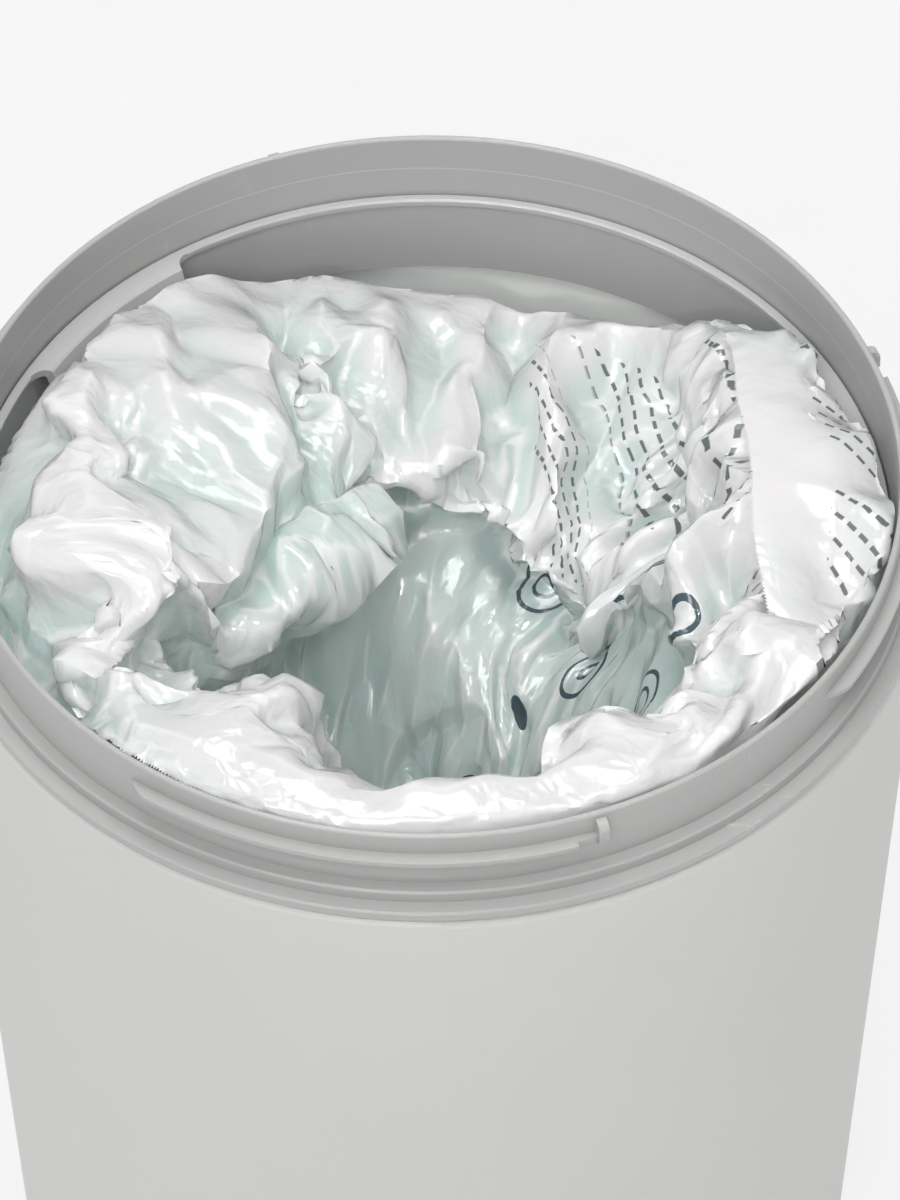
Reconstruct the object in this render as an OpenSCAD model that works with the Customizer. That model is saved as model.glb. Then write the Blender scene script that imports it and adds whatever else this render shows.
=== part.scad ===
// Nappy bin with its lid unit off: a tapered tub, the locking collar snapped onto it over a
// seal, a lift-out film ring on the collar's shelf, and a length of bag film knotted at its foot.
// Millimetres, +Z up, origin at the middle of the face the tub stands on.

/* [Tub] */
// Height of the tub, from the floor it stands on to its rim
tub_h = 276; // [220:1:340]
// Thickness of the tub wall
tub_t = 2.5; // [1.8:0.1:4]
// Draft of the tub wall, in degrees
tub_draft = 1.28; // [0.5:0.01:2]
// Radius on the outer edge of the tub rim
tub_edge_r = 1.8; // [0.8:0.1:2]
// Radius of the corner between wall and base
base_corner_r = 6; // [3:0.5:10]
// Height of the hollow under the tub floor
base_hollow_h = 3.5; // [2:0.5:8]
// Thickness of the tub floor
floor_t = 3; // [2:0.1:5]
// Width of the ring that the tub stands on
stand_w = 8; // [4:0.5:14]
// Number of stiffening ribs under the floor
base_ribs = 8; // [4:1:12]
// Thickness of a stiffening rib
base_rib_t = 2; // [1:0.1:4]
// Radial thickness of the stiffened band inside the rim
rim_band_t = 4; // [3.2:0.1:6]
// Height of the stiffened band, which the collar's snap barbs hook under
rim_band_h = 12; // [8:0.5:20]

/* [Collar] */
// Outer radius of the collar wall, which the lid unit goes over
collar_r = 118; // [100:0.5:140]
// Height of the collar wall above its upper flange
collar_wall_h = 17; // [14:0.5:30]
// Thickness of the collar wall at its foot
collar_t = 2.1; // [1.6:0.1:3]
// How much thinner the collar wall is at its lip
collar_thin = 0.4; // [0:0.05:0.6]
// How far the upper flange and the lugs stand out of the wall
flange_out = 3.2; // [2:0.1:5]
// Height of the upper flange, the round spigot that centres a lid
spigot_h = 3.4; // [2:0.1:6]
// Width of the seat outside the upper flange
seat_w = 3.6; // [2:0.1:6]
// Height of the lower flange under the seat
seat_h = 2.6; // [1.5:0.1:5]
// How far the tub rim stands proud of the lower flange
tub_proud = 0.2; // [0:0.1:1]
// Width of the shelf that carries the film ring
shelf_w = 1.1; // [0.8:0.1:1.5]
// Height of the shelf above the underside of the lower flange
shelf_up = 1; // [0.5:0.1:1.5]
// Thickness of the inner skirt
skirt_t = 2.1; // [1.5:0.1:3]
// Depth of the inner skirt below the shelf
skirt_depth = 23.7; // [20:0.1:40]
// Thickness of the snap skirt inside the tub rim
snap_t = 2; // [1.5:0.1:3]
// Number of snap barbs
barbs = 6; // [4:1:8]
// Angle that one snap barb covers
barb_angle = 20; // [10:1:30]
// How far a snap barb stands out of its skirt
barb_out = 1.1; // [0.8:0.1:1.4]

/* [Bayonet lugs] */
// Number of lugs
lugs = 4; // [3:1:6]
// Angle of the first lug's stop, seen from above
lug_stop_angle = 19.5; // [0:0.5:60]
// Angle from a lug's full width to its stop
lug_angle = 52; // [30:1:54]
// Thickness of a lug
lug_t = 1.3; // [1:0.1:2.5]
// Depth of a lug's top face below the lip
lug_drop = 6.1; // [5:0.1:7]
// Radius that rounds a lug's leading end
lug_nose_r = 12; // [8:0.5:20]
// Width of the stop rib at a lug's end
stop_w = 2.6; // [1.5:0.1:4]
// Depth of the catch notch beside the stop
notch_d = 1.5; // [0.5:0.1:2]
// Length of the catch notch
notch_l = 5; // [2:0.5:8]

/* [Seal] */
// Thickness of the seal between tub rim and collar
seal_t = 1; // [0.6:0.1:2]
// Width of the seal
seal_w = 2.2; // [1.5:0.1:2.6]

/* [Film ring] */
// Thickness of the ring's ledge
ledge_t = 2.2; // [1.6:0.1:3]
// Width of the ledge in front of a window
ledge_w = 2.3; // [1.8:0.1:2.6]
// Width of the ledge over a tongue
ledge_tongue_w = 6.2; // [4.5:0.1:8]
// Number of tongues
tongues = 3; // [3:1:4]
// Angle of the first tongue's middle, seen from above
tongue_angle_0 = 19; // [0:1:90]
// Angle that one tongue covers
tongue_angle = 26; // [16:1:40]
// Height of a tongue
tongue_h = 20; // [12:1:30]
// Thickness of a tongue
tongue_t = 2; // [1.4:0.1:3]
// How far a tongue leans in, per unit of height
tongue_lean = 0.31; // [0.1:0.01:0.4]
// Radius of the window's corner at the ledge
window_r = 4; // [1:0.5:4]

/* [Film bag] */
// Thickness of the bag's solid
film_t = 1.6; // [1:0.1:2]
// Radius of the bag's body
bag_r = 92; // [60:1:96]
// Radius of the bag's throat
throat_r = 45; // [25:1:50]
// Height from the throat up to the brim
throat_drop = 28; // [20:1:40]
// Gap between the tongues' upper edge and the brim's ridge
brim_gap = 9.3; // [7:0.1:20]
// How far the brim's back lies below its front
brim_dip = 31; // [0:1:34]
// Depth of the gathers in the body
gather_d = 2.6; // [0:0.1:4]
// Number of gathers round the body
gathers = 9; // [5:1:14]
// Radius of the knot
knot_r = 13; // [8:0.5:18]
// Height of the knot, from its tail to the neck above it
knot_h = 26; // [20:1:40]
// Height at which the knot's tail hangs over the tub floor
hang_h = 8; // [1:0.5:20]

/* [Clearances] */
// Gap of a snapped joint
snap_gap = 0.3; // [0.1:0.05:0.5]
// Gap under and beside a part that lifts out
lift_gap = 0.3; // [0.2:0.05:0.6]
// Gap between the film ring and the collar wall
ring_gap = 0.4; // [0.3:0.05:0.8]

/* [Hidden] */
$fn = 180;

// Radii outwards from the collar wall
spigot_r = collar_r + flange_out;
seat_r = spigot_r + seat_w;
tub_r = seat_r + tub_proud;
lug_nose_c = spigot_r + 0.4 - lug_nose_r;
// Radii inwards from the collar wall
wall_in_r = collar_r - collar_t;
lip_in_r = wall_in_r + collar_thin;
lip_t = collar_r - lip_in_r;
skirt_in_r = wall_in_r - shelf_w;
ring_r = wall_in_r - ring_gap;
window_edge_r = ring_r - ledge_w;
tongue_edge_r = ring_r - ledge_tongue_w;
// Heights upwards from the tub rim
seat_z0 = tub_h + seal_t;
seat_z = seat_z0 + seat_h;
spigot_z = seat_z + spigot_h;
lip_z = spigot_z + collar_wall_h;
shelf_z = seat_z0 + shelf_up;
ledge_z0 = shelf_z + lift_gap;
ledge_z = ledge_z0 + ledge_t;
lug_z = lip_z - lug_drop;
// The tub's inner surfaces
slope = tan(tub_draft);
function tub_out(z) = tub_r - (tub_h - z) * slope;
band_in_r = tub_r - rim_band_t;
band_z = tub_h - rim_band_h;
floor_z = base_hollow_h + floor_t;
stand_r = tub_out(0) - base_corner_r;
base_fillet = 8;
// The snap skirt, and its barbs under the rim band
snap_r = band_in_r - snap_gap;
barb_z = band_z - snap_gap;
barb_h = 2.4;
snap_z0 = barb_z - barb_h;
slot_w = 1.6;
// Small edges and overlaps
edge = 0.5;
sink = 0.6;

// A wedge of the plane between two angles, wide enough for any ring here
module wedge(a0, a1) {
    reach = 2 * tub_r;
    mid = (a0 + a1) / 2;
    polygon([[0, 0], reach * [cos(a0), sin(a0)], reach * [cos((a0 + mid) / 2), sin((a0 + mid) / 2)],
        reach * [cos(mid), sin(mid)], reach * [cos((a1 + mid) / 2), sin((a1 + mid) / 2)],
        reach * [cos(a1), sin(a1)]]);
}

// A flat ring between two radii
module annulus(r_in, r_out) {
    difference() {
        circle(r = r_out);
        circle(r = r_in);
    }
}

// Points round an arc
function arc(x, y, r, a0, a1, n) = [for (i = [0:n]) let (a = a0 + (a1 - a0) * i / n) [x + r * cos(a), y + r * sin(a)]];

// A solid of the profile below it, turned from angle a0 through angle a
module swept(a0, a) {
    rotate([0, 0, a0]) rotate_extrude(angle = a) children();
}

module tub_profile() {
    rounded_z = tub_h - tub_edge_r;
    difference() {
        union() {
            polygon([
                [0, 0], [stand_r, 0], [tub_out(base_corner_r), base_corner_r],
                [tub_out(rounded_z), rounded_z], [tub_r - tub_edge_r, tub_h], [0, tub_h]
            ]);
            translate([tub_r - tub_edge_r, rounded_z]) circle(r = tub_edge_r, $fn = 48);
            translate([tub_out(base_corner_r) - base_corner_r, base_corner_r]) circle(r = base_corner_r, $fn = 64);
        }
        // Inside of the wall, with the rim band left standing
        polygon([
            [0, floor_z], [tub_out(floor_z) - tub_t - base_fillet, floor_z],
            [tub_out(floor_z + base_fillet) - tub_t, floor_z + base_fillet],
            [tub_out(band_z) - tub_t, band_z], [band_in_r, band_z],
            [band_in_r, tub_h + edge], [0, tub_h + edge]
        ]);
        // Hollow under the floor
        polygon([
            [0, -edge], [stand_r - stand_w + base_hollow_h / 2, -edge],
            [stand_r - stand_w, base_hollow_h], [0, base_hollow_h]
        ]);
    }
}

module tub_body() {
    rib_r0 = 22;
    color("gainsboro") {
        rotate_extrude() tub_profile();
        // Ribs and gate mark in the hollow under the floor
        for (i = [0:base_ribs - 1]) rotate([0, 0, (i + 0.5) * 360 / base_ribs])
            translate([rib_r0, -base_rib_t / 2, edge])
                cube([stand_r - stand_w + edge - rib_r0, base_rib_t, base_hollow_h]);
        difference() {
            translate([0, 0, edge]) cylinder(h = base_hollow_h, r = rib_r0 + base_rib_t);
            cylinder(h = 2 * base_hollow_h, r = rib_r0, center = true);
        }
        translate([0, 0, base_hollow_h - edge]) cylinder(h = 2 * edge, r = 3, $fn = 32);
    }
}

module collar_seal() {
    in_r = band_in_r + 0.2;
    color("dimgray") translate([0, 0, tub_h]) linear_extrude(seal_t) annulus(in_r, in_r + seal_w);
}

module collar_profile() {
    lip_r = lip_t / 2;
    polygon(concat(arc(collar_r - lip_r, lip_z - lip_r, lip_r, 180, 0, 8), [
        [collar_r, spigot_z],
        [spigot_r - edge, spigot_z], [spigot_r, spigot_z - edge], [spigot_r, seat_z],
        [seat_r - edge, seat_z], [seat_r, seat_z - edge], [seat_r, seat_z0],
        [snap_r, seat_z0], [snap_r, snap_z0], [snap_r - snap_t, snap_z0], [snap_r - snap_t, seat_z0 + edge],
        [skirt_in_r + skirt_t, seat_z0 + edge], [skirt_in_r + skirt_t, shelf_z - skirt_depth],
        [skirt_in_r, shelf_z - skirt_depth], [skirt_in_r, shelf_z],
        [wall_in_r, shelf_z]
    ]));
}

// One lug: a flat arc with a rounded leading end and a catch notch beside its stop
module lug(stop) {
    notch_a = notch_l / spigot_r * 180 / PI;
    start = stop - lug_angle;
    translate([0, 0, lug_z - lug_t]) linear_extrude(lug_t) difference() {
        intersection() {
            annulus(collar_r - sink, spigot_r);
            union() {
                wedge(start, stop);
                rotate([0, 0, start]) translate([lug_nose_c, 0]) circle(r = lug_nose_r);
            }
        }
        intersection() {
            annulus(spigot_r - notch_d, 2 * spigot_r);
            wedge(stop - stop_half_a - notch_a, stop - stop_half_a);
        }
    }
}

// The stop rib at a lug's end: rounded over at its top and under its foot
stop_half_a = stop_w / 2 / spigot_r * 180 / PI;
stop_r = spigot_r - 0.1;
module stop_rib(stop) {
    round_r = 2.4;
    foot = lug_t + 1.4;
    top_z = lip_z - lip_t;
    swept(stop - stop_half_a, 2 * stop_half_a) {
        translate([collar_r - sink, lug_z - foot + round_r])
            square([stop_r - collar_r + sink, top_z - lug_z + foot - 2 * round_r]);
        translate([collar_r - sink, lug_z - foot]) square([stop_r - collar_r + sink - round_r, top_z - lug_z + foot]);
        for (z = [lug_z - foot + round_r, top_z - round_r])
            translate([stop_r - round_r, z]) circle(r = round_r, $fn = 48);
    }
}

module collar_ring() {
    color("darkgray") difference() {
        union() {
            rotate_extrude() collar_profile();
            for (i = [0:lugs - 1]) {
                lug(lug_stop_angle + i * 360 / lugs);
                stop_rib(lug_stop_angle + i * 360 / lugs);
            }
            for (i = [0:barbs - 1]) swept((i + 0.5) * 360 / barbs - barb_angle / 2, barb_angle)
                polygon([[snap_r - sink, barb_z], [snap_r + barb_out, barb_z],
                    [snap_r + barb_out, barb_z - edge], [snap_r - sink, snap_z0 + edge / 2]]);
        }
        // Slots that let each barb spring inwards
        for (i = [0:barbs - 1], side = [-1, 1])
            rotate([0, 0, (i + 0.5) * 360 / barbs + side * (barb_angle / 2 + 1)])
                translate([snap_r - snap_t - edge, -slot_w / 2, snap_z0 - edge])
                    cube([snap_t + 2 * edge, slot_w, rim_band_h]);
    }
}

// The ledge's section in front of a window: rounded edge over a fine step
module ledge_profile() {
    step = 0.3;
    polygon([
        [window_edge_r + edge, ledge_z], [window_edge_r, ledge_z - edge],
        [window_edge_r, ledge_z0 + ledge_t / 2], [window_edge_r + step, ledge_z0 + ledge_t / 2 - step],
        [window_edge_r + step, ledge_z0], [ring_r, ledge_z0], [ring_r, ledge_z - edge / 2],
        [ring_r - edge / 2, ledge_z]
    ]);
}

// The section of a tongue, from the ledge down
module tongue_profile() {
    foot_z = ledge_z - tongue_h;
    foot_r = tongue_edge_r - tongue_h * tongue_lean;
    polygon([
        [tongue_edge_r + edge, ledge_z], [tongue_edge_r - edge * tongue_lean, ledge_z - edge],
        [foot_r, foot_z + edge], [foot_r + edge, foot_z],
        [foot_r + tongue_t, foot_z], [tongue_edge_r + tongue_t, ledge_z0 - edge], [tongue_edge_r + tongue_t, ledge_z]
    ]);
}

module film_ring() {
    corner_a = window_r / (window_edge_r - window_r) * 180 / PI;
    half = tongue_angle / 2;
    color("silver") {
        rotate_extrude() ledge_profile();
        for (i = [0:tongues - 1]) rotate([0, 0, tongue_angle_0 + i * 360 / tongues]) {
            swept(-half, tongue_angle) tongue_profile();
            // The ledge widens to the tongue through rounded corners
            translate([0, 0, ledge_z0]) linear_extrude(ledge_t) difference() {
                intersection() {
                    annulus(tongue_edge_r + edge, window_edge_r + sink);
                    wedge(-half - corner_a, half + corner_a);
                }
                for (side = [-1, 1]) rotate([0, 0, side * (half + corner_a)])
                    translate([window_edge_r - window_r, 0]) circle(r = window_r, $fn = 64);
            }
        }
    }
}

// The bag is lofted through rings. Each ring is [middle x, middle y, radius, height, share of
// the back's dip, depth of gathers]. They run up the outside, over the brim and down the inside.
throat_x = -10;
throat_y = -30;
brim_r = tongue_edge_r - brim_gap;
brim_z = lip_z - 6;
throat_z = brim_z - throat_drop;
bag_foot = floor_z + hang_h;
neck_z = bag_foot + knot_h;
cuff_r = ring_r - 4.5;
cuff_z = ledge_z + lift_gap;
rise = throat_z - bag_foot;
shoulder_z = neck_z + 0.1 * (throat_z - neck_z);
bag_rings = [
    [0, 0, knot_r - 1, bag_foot, 0, 1],
    [0, 0, knot_r + 1, bag_foot + 2.5, 0, 1],
    [0, 0, knot_r / 2, bag_foot + knot_h * 0.35, 0, 0],
    [0, 0, knot_r, bag_foot + knot_h * 0.58, 0, 0],
    [0, 0, knot_r, bag_foot + knot_h * 0.77, 0, 0],
    [0, 0, knot_r / 2, neck_z, 0, 0],
    [0, 0, bag_r * 0.42, neck_z + 12, 0, gather_d],
    [0, 0, bag_r * 0.75, shoulder_z, 0, gather_d],
    [0, 0, bag_r * 0.93, bag_foot + rise * 0.29, 0, gather_d],
    [0, 0, bag_r, bag_foot + rise * 0.5, 0, gather_d],
    [throat_x * 0.1, throat_y * 0.1, bag_r * 0.98, bag_foot + rise * 0.68, 0, gather_d],
    [throat_x * 0.4, throat_y * 0.4, bag_r * 0.80, throat_z - 30, 0.1, gather_d],
    [throat_x * 0.85, throat_y * 0.85, throat_r * 1.12 + film_t, throat_z - 8, 0.3, gather_d],
    [throat_x, throat_y, throat_r + film_t, throat_z, 0.4, gather_d],
    [throat_x * 0.6, throat_y * 0.6, throat_r * 1.45, throat_z + 9, 0.6, gather_d],
    [0, 0, brim_r - 8, brim_z - 6, 1, gather_d / 2],
    [0, 0, brim_r, brim_z - film_t, 1, 0],
    [0, 0, cuff_r - 2.4, cuff_z + 4, 0.75, 0],
    [0, 0, cuff_r - 2, cuff_z, 0.7, 0],
    [0, 0, cuff_r, cuff_z, 0.7, 0],
    [0, 0, cuff_r, cuff_z + 4, 0.75, 0],
    [0, 0, brim_r, brim_z, 1, 0],
    [0, 0, brim_r - 8, brim_z - 3.5, 1, gather_d / 2],
    [throat_x * 0.6, throat_y * 0.6, throat_r * 1.4, throat_z + 11.5, 0.6, gather_d],
    [throat_x, throat_y, throat_r, throat_z, 0.4, gather_d],
    [throat_x * 0.85, throat_y * 0.85, throat_r * 1.12, throat_z - 8, 0.3, gather_d],
    [throat_x * 0.4, throat_y * 0.4, bag_r * 0.80 - film_t, throat_z - 31, 0.1, gather_d],
    [throat_x * 0.1, throat_y * 0.1, bag_r * 0.98 - film_t, bag_foot + rise * 0.68, 0, gather_d],
    [0, 0, bag_r - film_t, bag_foot + rise * 0.5, 0, gather_d],
    [0, 0, bag_r * 0.93 - film_t, bag_foot + rise * 0.29, 0, gather_d],
    [0, 0, bag_r * 0.75 - film_t, shoulder_z + film_t, 0, gather_d],
    [0, 0, bag_r * 0.42 - film_t, neck_z + 12 + film_t, 0, gather_d]
];
bag_sides = 60;
dip_angle = 85;
bag_steps = len(bag_rings);

// How much of the back's dip applies at an angle: all of it at the back, none at the front
function dip_at(a) = pow(max(0, cos(0.8 * (abs(a - dip_angle) > 180 ? 360 - abs(a - dip_angle) : abs(a - dip_angle)))), 3);
// Where the brim dips below the ledge it also draws in, clear of the ring's tongues
function ring_point(g, a) =
    let (dip = brim_dip * g[4] * dip_at(a), over = 0.6 * max(0, g[2] - brim_r + 2) * min(1, dip / 2),
        r = g[2] - over + g[5] * sin(gathers * a))
    [g[0] + r * cos(a), g[1] + r * sin(a), g[3] - dip];

module film_bag() {
    points = concat(
        [for (g = bag_rings, i = [0:bag_sides - 1]) ring_point(g, i * 360 / bag_sides)],
        [[0, 0, bag_foot], [0, 0, neck_z + 12 + film_t / 2]]
    );
    foot_pole = bag_steps * bag_sides;
    top = (bag_steps - 1) * bag_sides;
    faces = concat(
        [for (k = [0:bag_steps - 2], i = [0:bag_sides - 1]) let (j = (i + 1) % bag_sides, p = k * bag_sides)
            [p + i, p + bag_sides + i, p + j]],
        [for (k = [0:bag_steps - 2], i = [0:bag_sides - 1]) let (j = (i + 1) % bag_sides, p = k * bag_sides)
            [p + j, p + bag_sides + i, p + bag_sides + j]],
        [for (i = [0:bag_sides - 1]) [foot_pole, i, (i + 1) % bag_sides]],
        [for (i = [0:bag_sides - 1]) [foot_pole + 1, top + (i + 1) % bag_sides, top + i]]
    );
    color("azure") polyhedron(points = points, faces = faces, convexity = 6);
}

tub_body();
collar_seal();
collar_ring();
film_ring();
film_bag();
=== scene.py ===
"""Looks for a nappy bin that stands with its lid unit off.

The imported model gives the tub, seal, collar and film ring, which keep their shapes and get
their plastics here. The bag of thin film is made here as a sheet: it is laid out along the
way it takes through the ring, then crumpled by a sheet solver that keeps its real length.
Sizes are in millimetres, azimuths in degrees from +X towards +Y, and a drop is a height
measured upwards from the collar's lip.
"""

from __future__ import annotations

import logging
import math
from collections.abc import Callable
from dataclasses import dataclass
from enum import Enum

import bpy
import numpy as np
from mathutils import Matrix, Vector

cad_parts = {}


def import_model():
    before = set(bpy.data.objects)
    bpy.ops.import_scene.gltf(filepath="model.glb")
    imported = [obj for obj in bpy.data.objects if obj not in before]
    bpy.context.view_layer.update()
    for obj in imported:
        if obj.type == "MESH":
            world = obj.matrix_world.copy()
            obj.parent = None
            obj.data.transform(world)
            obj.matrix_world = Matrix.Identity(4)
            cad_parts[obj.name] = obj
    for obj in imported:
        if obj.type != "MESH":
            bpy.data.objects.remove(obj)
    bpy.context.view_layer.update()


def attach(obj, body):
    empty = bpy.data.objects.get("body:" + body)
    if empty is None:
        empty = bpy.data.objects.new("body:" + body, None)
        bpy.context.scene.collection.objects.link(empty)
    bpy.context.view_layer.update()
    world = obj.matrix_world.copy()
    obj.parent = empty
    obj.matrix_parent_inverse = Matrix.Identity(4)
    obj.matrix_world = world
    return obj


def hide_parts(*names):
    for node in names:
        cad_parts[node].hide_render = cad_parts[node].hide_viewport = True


MM = 0.001
TURN = 360
TINY = 1e-9
ANY_PHASE = 6.3  # a little over one turn in radians
LOG = logging.getLogger("nappy_bin")
Colour = tuple[float, float, float, float]
Place = tuple[float, float, float]
Table = tuple[tuple[float, ...], ...]
Tree = bpy.types.NodeTree
Source = bpy.types.Node | bpy.types.NodeSocket
Looseness = Callable[[np.ndarray], np.ndarray]
Limit = Callable[[np.ndarray], None]
Links = list[tuple[np.ndarray, np.ndarray, np.ndarray, bool]]


def srgb(hex_value: str) -> Colour:
    """Turns an sRGB hex value to a linear colour.

    Args:
        hex_value: Six hex digits, such as "D0D0CE".

    Returns:
        Linear red, green and blue, and an alpha of 1.
    """
    parts = [int(hex_value[i : i + 2], 16) / 255 for i in (0, 2, 4)]
    linear = [p / 12.92 if p <= 0.04045 else ((p + 0.055) / 1.055) ** 2.4 for p in parts]
    return (linear[0], linear[1], linear[2], 1.0)


def add_node(tree: Tree, kind: str, inputs: dict | None = None, **settings: object) -> bpy.types.Node:
    """Adds one node, with its settings and links.

    Args:
        tree: The node tree that takes the node.
        kind: The node's type, without "ShaderNode" in front.
        inputs: What goes in, by the name or number of the input: a value, an output socket, or
            a node that stands for its first output.
        **settings: The node's own properties by name, and for a colour ramp stops, the place
            and the sRGB hex value of its two stops.

    Returns:
        The new node.
    """
    node = tree.nodes.new("ShaderNode" + kind)
    for i, (place, colour) in enumerate(settings.pop("stops", ())):
        node.color_ramp.elements[i].position = place
        node.color_ramp.elements[i].color = srgb(colour)
    for name, value in settings.items():
        setattr(node, name, value)
    for name, value in (inputs or {}).items():
        if isinstance(value, bpy.types.Node):
            value = value.outputs[0]
        if isinstance(value, bpy.types.NodeSocket):
            tree.links.new(value, node.inputs[name])
        else:
            node.inputs[name].default_value = value
    return node


def new_material(name: str) -> tuple[bpy.types.Material, Tree]:
    """Starts a material with an empty node tree.

    Args:
        name: The material's name.

    Returns:
        The material and its tree.
    """
    material = bpy.data.materials.new(name)
    material.use_nodes = True
    material.node_tree.nodes.clear()
    return material, material.node_tree


def dress(node_name: str, material: bpy.types.Material) -> None:
    """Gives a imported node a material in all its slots.

    Args:
        node_name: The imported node's name.
        material: The material.
    """
    target = bpy.data.objects[node_name]
    if not target.material_slots:
        target.data.materials.append(material)
    for material_slot in target.material_slots:
        material_slot.material = material


@dataclass(frozen=True)
class MouldedPolypropylene:
    """Injection-moulded polypropylene from a satin-blasted tool.

    It looks soft and slightly waxy: broad dull highlights, a fine even grain, and a colour that
    drifts a little where the melt flowed.
    """

    name: str
    body: str
    drift: str
    roughness: float = 0.42
    refraction: float = 1.49
    grain_mm: float = 0.9  # the real grain is 0.1 mm, drawn coarser so that it shows
    grain_depth_mm: float = 0.012
    flow_mm: float = 70.0
    parting_mm: float = 0.0  # height of a parting line over the floor, or 0 for none
    parting_half_mm: float = 0.16
    parting_sway_mm: float = 1.6  # how far the line strays, over parting_wave_mm
    parting_wave_mm: float = 60.0
    parting_r_mm: float = 117.4  # the parting line shows only inside this radius
    parting_share: float = 0.35
    scuff: float = 0.0  # how much lighter the scuffed streaks are
    scuff_mm: Place = (30.0, 5.0, 7.0)  # length, width and depth of a streak's noise
    scuff_patch_mm: float = 55.0
    rubbed: str = "E4E4E2"  # tone of scuffs and of the parting line
    inside: str = ""  # painted light: a lighter tone painted on faces that look inwards, in place of light reaching the inside wall, or none

    def scuffed(self, tree: Tree, place: Source, tone: Source) -> Source:
        """Adds the pale scuffs of use to a colour.

        Args:
            tree: The node tree.
            place: Object coordinates.
            tone: The colour so far.

        Returns:
            The colour with its scuffs.
        """
        scale = tuple(1 / (size * MM) for size in self.scuff_mm)
        slanted = {"Vector": place, "Rotation": (0.5, 0.3, 0.6), "Scale": scale}
        long_way = add_node(tree, "Mapping", slanted)
        torn = {"Vector": long_way, "Scale": 1.0, "Detail": 5.0, "Roughness": 0.7, "Distortion": 0.6}
        streaks = add_node(tree, "TexNoise", torn)
        broad = {"Vector": place, "Scale": 1 / (self.scuff_patch_mm * MM), "Detail": 1.0}
        patches = add_node(tree, "TexNoise", broad)
        thin = add_node(tree, "MapRange", {"Value": streaks, "From Min": 0.6, "From Max": 0.72})
        where = add_node(tree, "MapRange", {"Value": patches, "From Min": 0.52, "From Max": 0.66})
        both = add_node(tree, "Math", {0: thin, 1: where}, operation="MULTIPLY")
        share = add_node(tree, "Math", {0: both, 1: self.scuff}, operation="MULTIPLY")
        return add_node(tree, "MixRGB", {0: share, 1: tone, 2: srgb(self.rubbed)})

    def parted(self, tree: Tree, place: Source, tone: Source) -> Source:
        """Adds the faint line where the mould's halves met to a colour.

        Args:
            tree: The node tree.
            place: Object coordinates.
            tone: The colour so far.

        Returns:
            The colour with its parting line.
        """
        parts = add_node(tree, "SeparateXYZ", {0: place})
        slow = {"Vector": place, "Scale": 1 / (self.parting_wave_mm * MM), "Detail": 0.0}
        sway = add_node(tree, "TexNoise", slow)
        strayed = {0: sway, 1: -self.parting_sway_mm * MM, 2: parts.outputs["Z"]}
        height = add_node(tree, "Math", strayed, operation="MULTIPLY_ADD")
        at = {0: height, 1: self.parting_mm * MM, 2: self.parting_half_mm * MM}
        line = add_node(tree, "Math", at, operation="COMPARE")
        level = add_node(tree, "CombineXYZ", {0: parts.outputs["X"], 1: parts.outputs["Y"]})
        radius = add_node(tree, "VectorMath", {0: level}, operation="LENGTH").outputs["Value"]
        inner = add_node(tree, "Math", {0: radius, 1: self.parting_r_mm * MM}, operation="LESS_THAN")
        seen = add_node(tree, "Math", {0: line, 1: inner}, operation="MULTIPLY")
        faint = add_node(tree, "Math", {0: seen, 1: self.parting_share}, operation="MULTIPLY")
        return add_node(tree, "MixRGB", {0: faint, 1: tone, 2: srgb(self.rubbed)})

    def paint_light_inside(self, tree: Tree, place: Source, tone: Source) -> Source:
        """Paints the faces that look inwards a lighter tone, as painted light on the inside wall.

        Args:
            tree: The node tree.
            place: Object coordinates.
            tone: The colour so far.

        Returns:
            The colour of both sides.
        """
        facing = add_node(tree, "NewGeometry").outputs["True Normal"]
        outwards = add_node(tree, "VectorMath", {0: place, 1: (1, 1, 0)}, operation="MULTIPLY")
        away = add_node(tree, "VectorMath", {0: facing, 1: outwards}, operation="DOT_PRODUCT")
        inwards = add_node(tree, "Math", {0: away.outputs["Value"], 1: 0.0}, operation="LESS_THAN")
        return add_node(tree, "MixRGB", {0: inwards, 1: tone, 2: srgb(self.inside)})

    def build(self) -> bpy.types.Material:
        """Makes the material.

        Returns:
            The material.
        """
        material, tree = new_material(self.name)
        place = add_node(tree, "TexCoord").outputs["Object"]
        slow = {"Vector": place, "Scale": 1 / (self.flow_mm * MM), "Detail": 3.0, "Roughness": 0.45}
        flow = add_node(tree, "TexNoise", slow)
        stops = ((0.3, self.drift), (0.7, self.body))
        tone = self.scuffed(tree, place, add_node(tree, "ValToRGB", {"Fac": flow}, stops=stops))
        if self.parting_mm:
            tone = self.parted(tree, place, tone)
        # Painted light: the inward faces get a lighter tone.
        if self.inside:
            tone = self.paint_light_inside(tree, place, tone)
        quick = {"Vector": place, "Scale": 1 / (self.grain_mm * MM), "Detail": 2.0, "Roughness": 0.6}
        grain = add_node(tree, "TexNoise", quick)
        depth = {"Height": grain, "Strength": 0.5, "Distance": self.grain_depth_mm * MM}
        duller = {"To Min": self.roughness - 0.03, "To Max": self.roughness + 0.04}
        sheen = add_node(tree, "MapRange", {"Value": flow, "From Min": 0.3, "From Max": 0.7, **duller})
        surface = {"Base Color": tone, "Roughness": sheen, "Normal": add_node(tree, "Bump", depth)}
        shader = add_node(tree, "BsdfPrincipled", {**surface, "IOR": self.refraction})
        add_node(tree, "OutputMaterial", {"Surface": shader})
        return material


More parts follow.
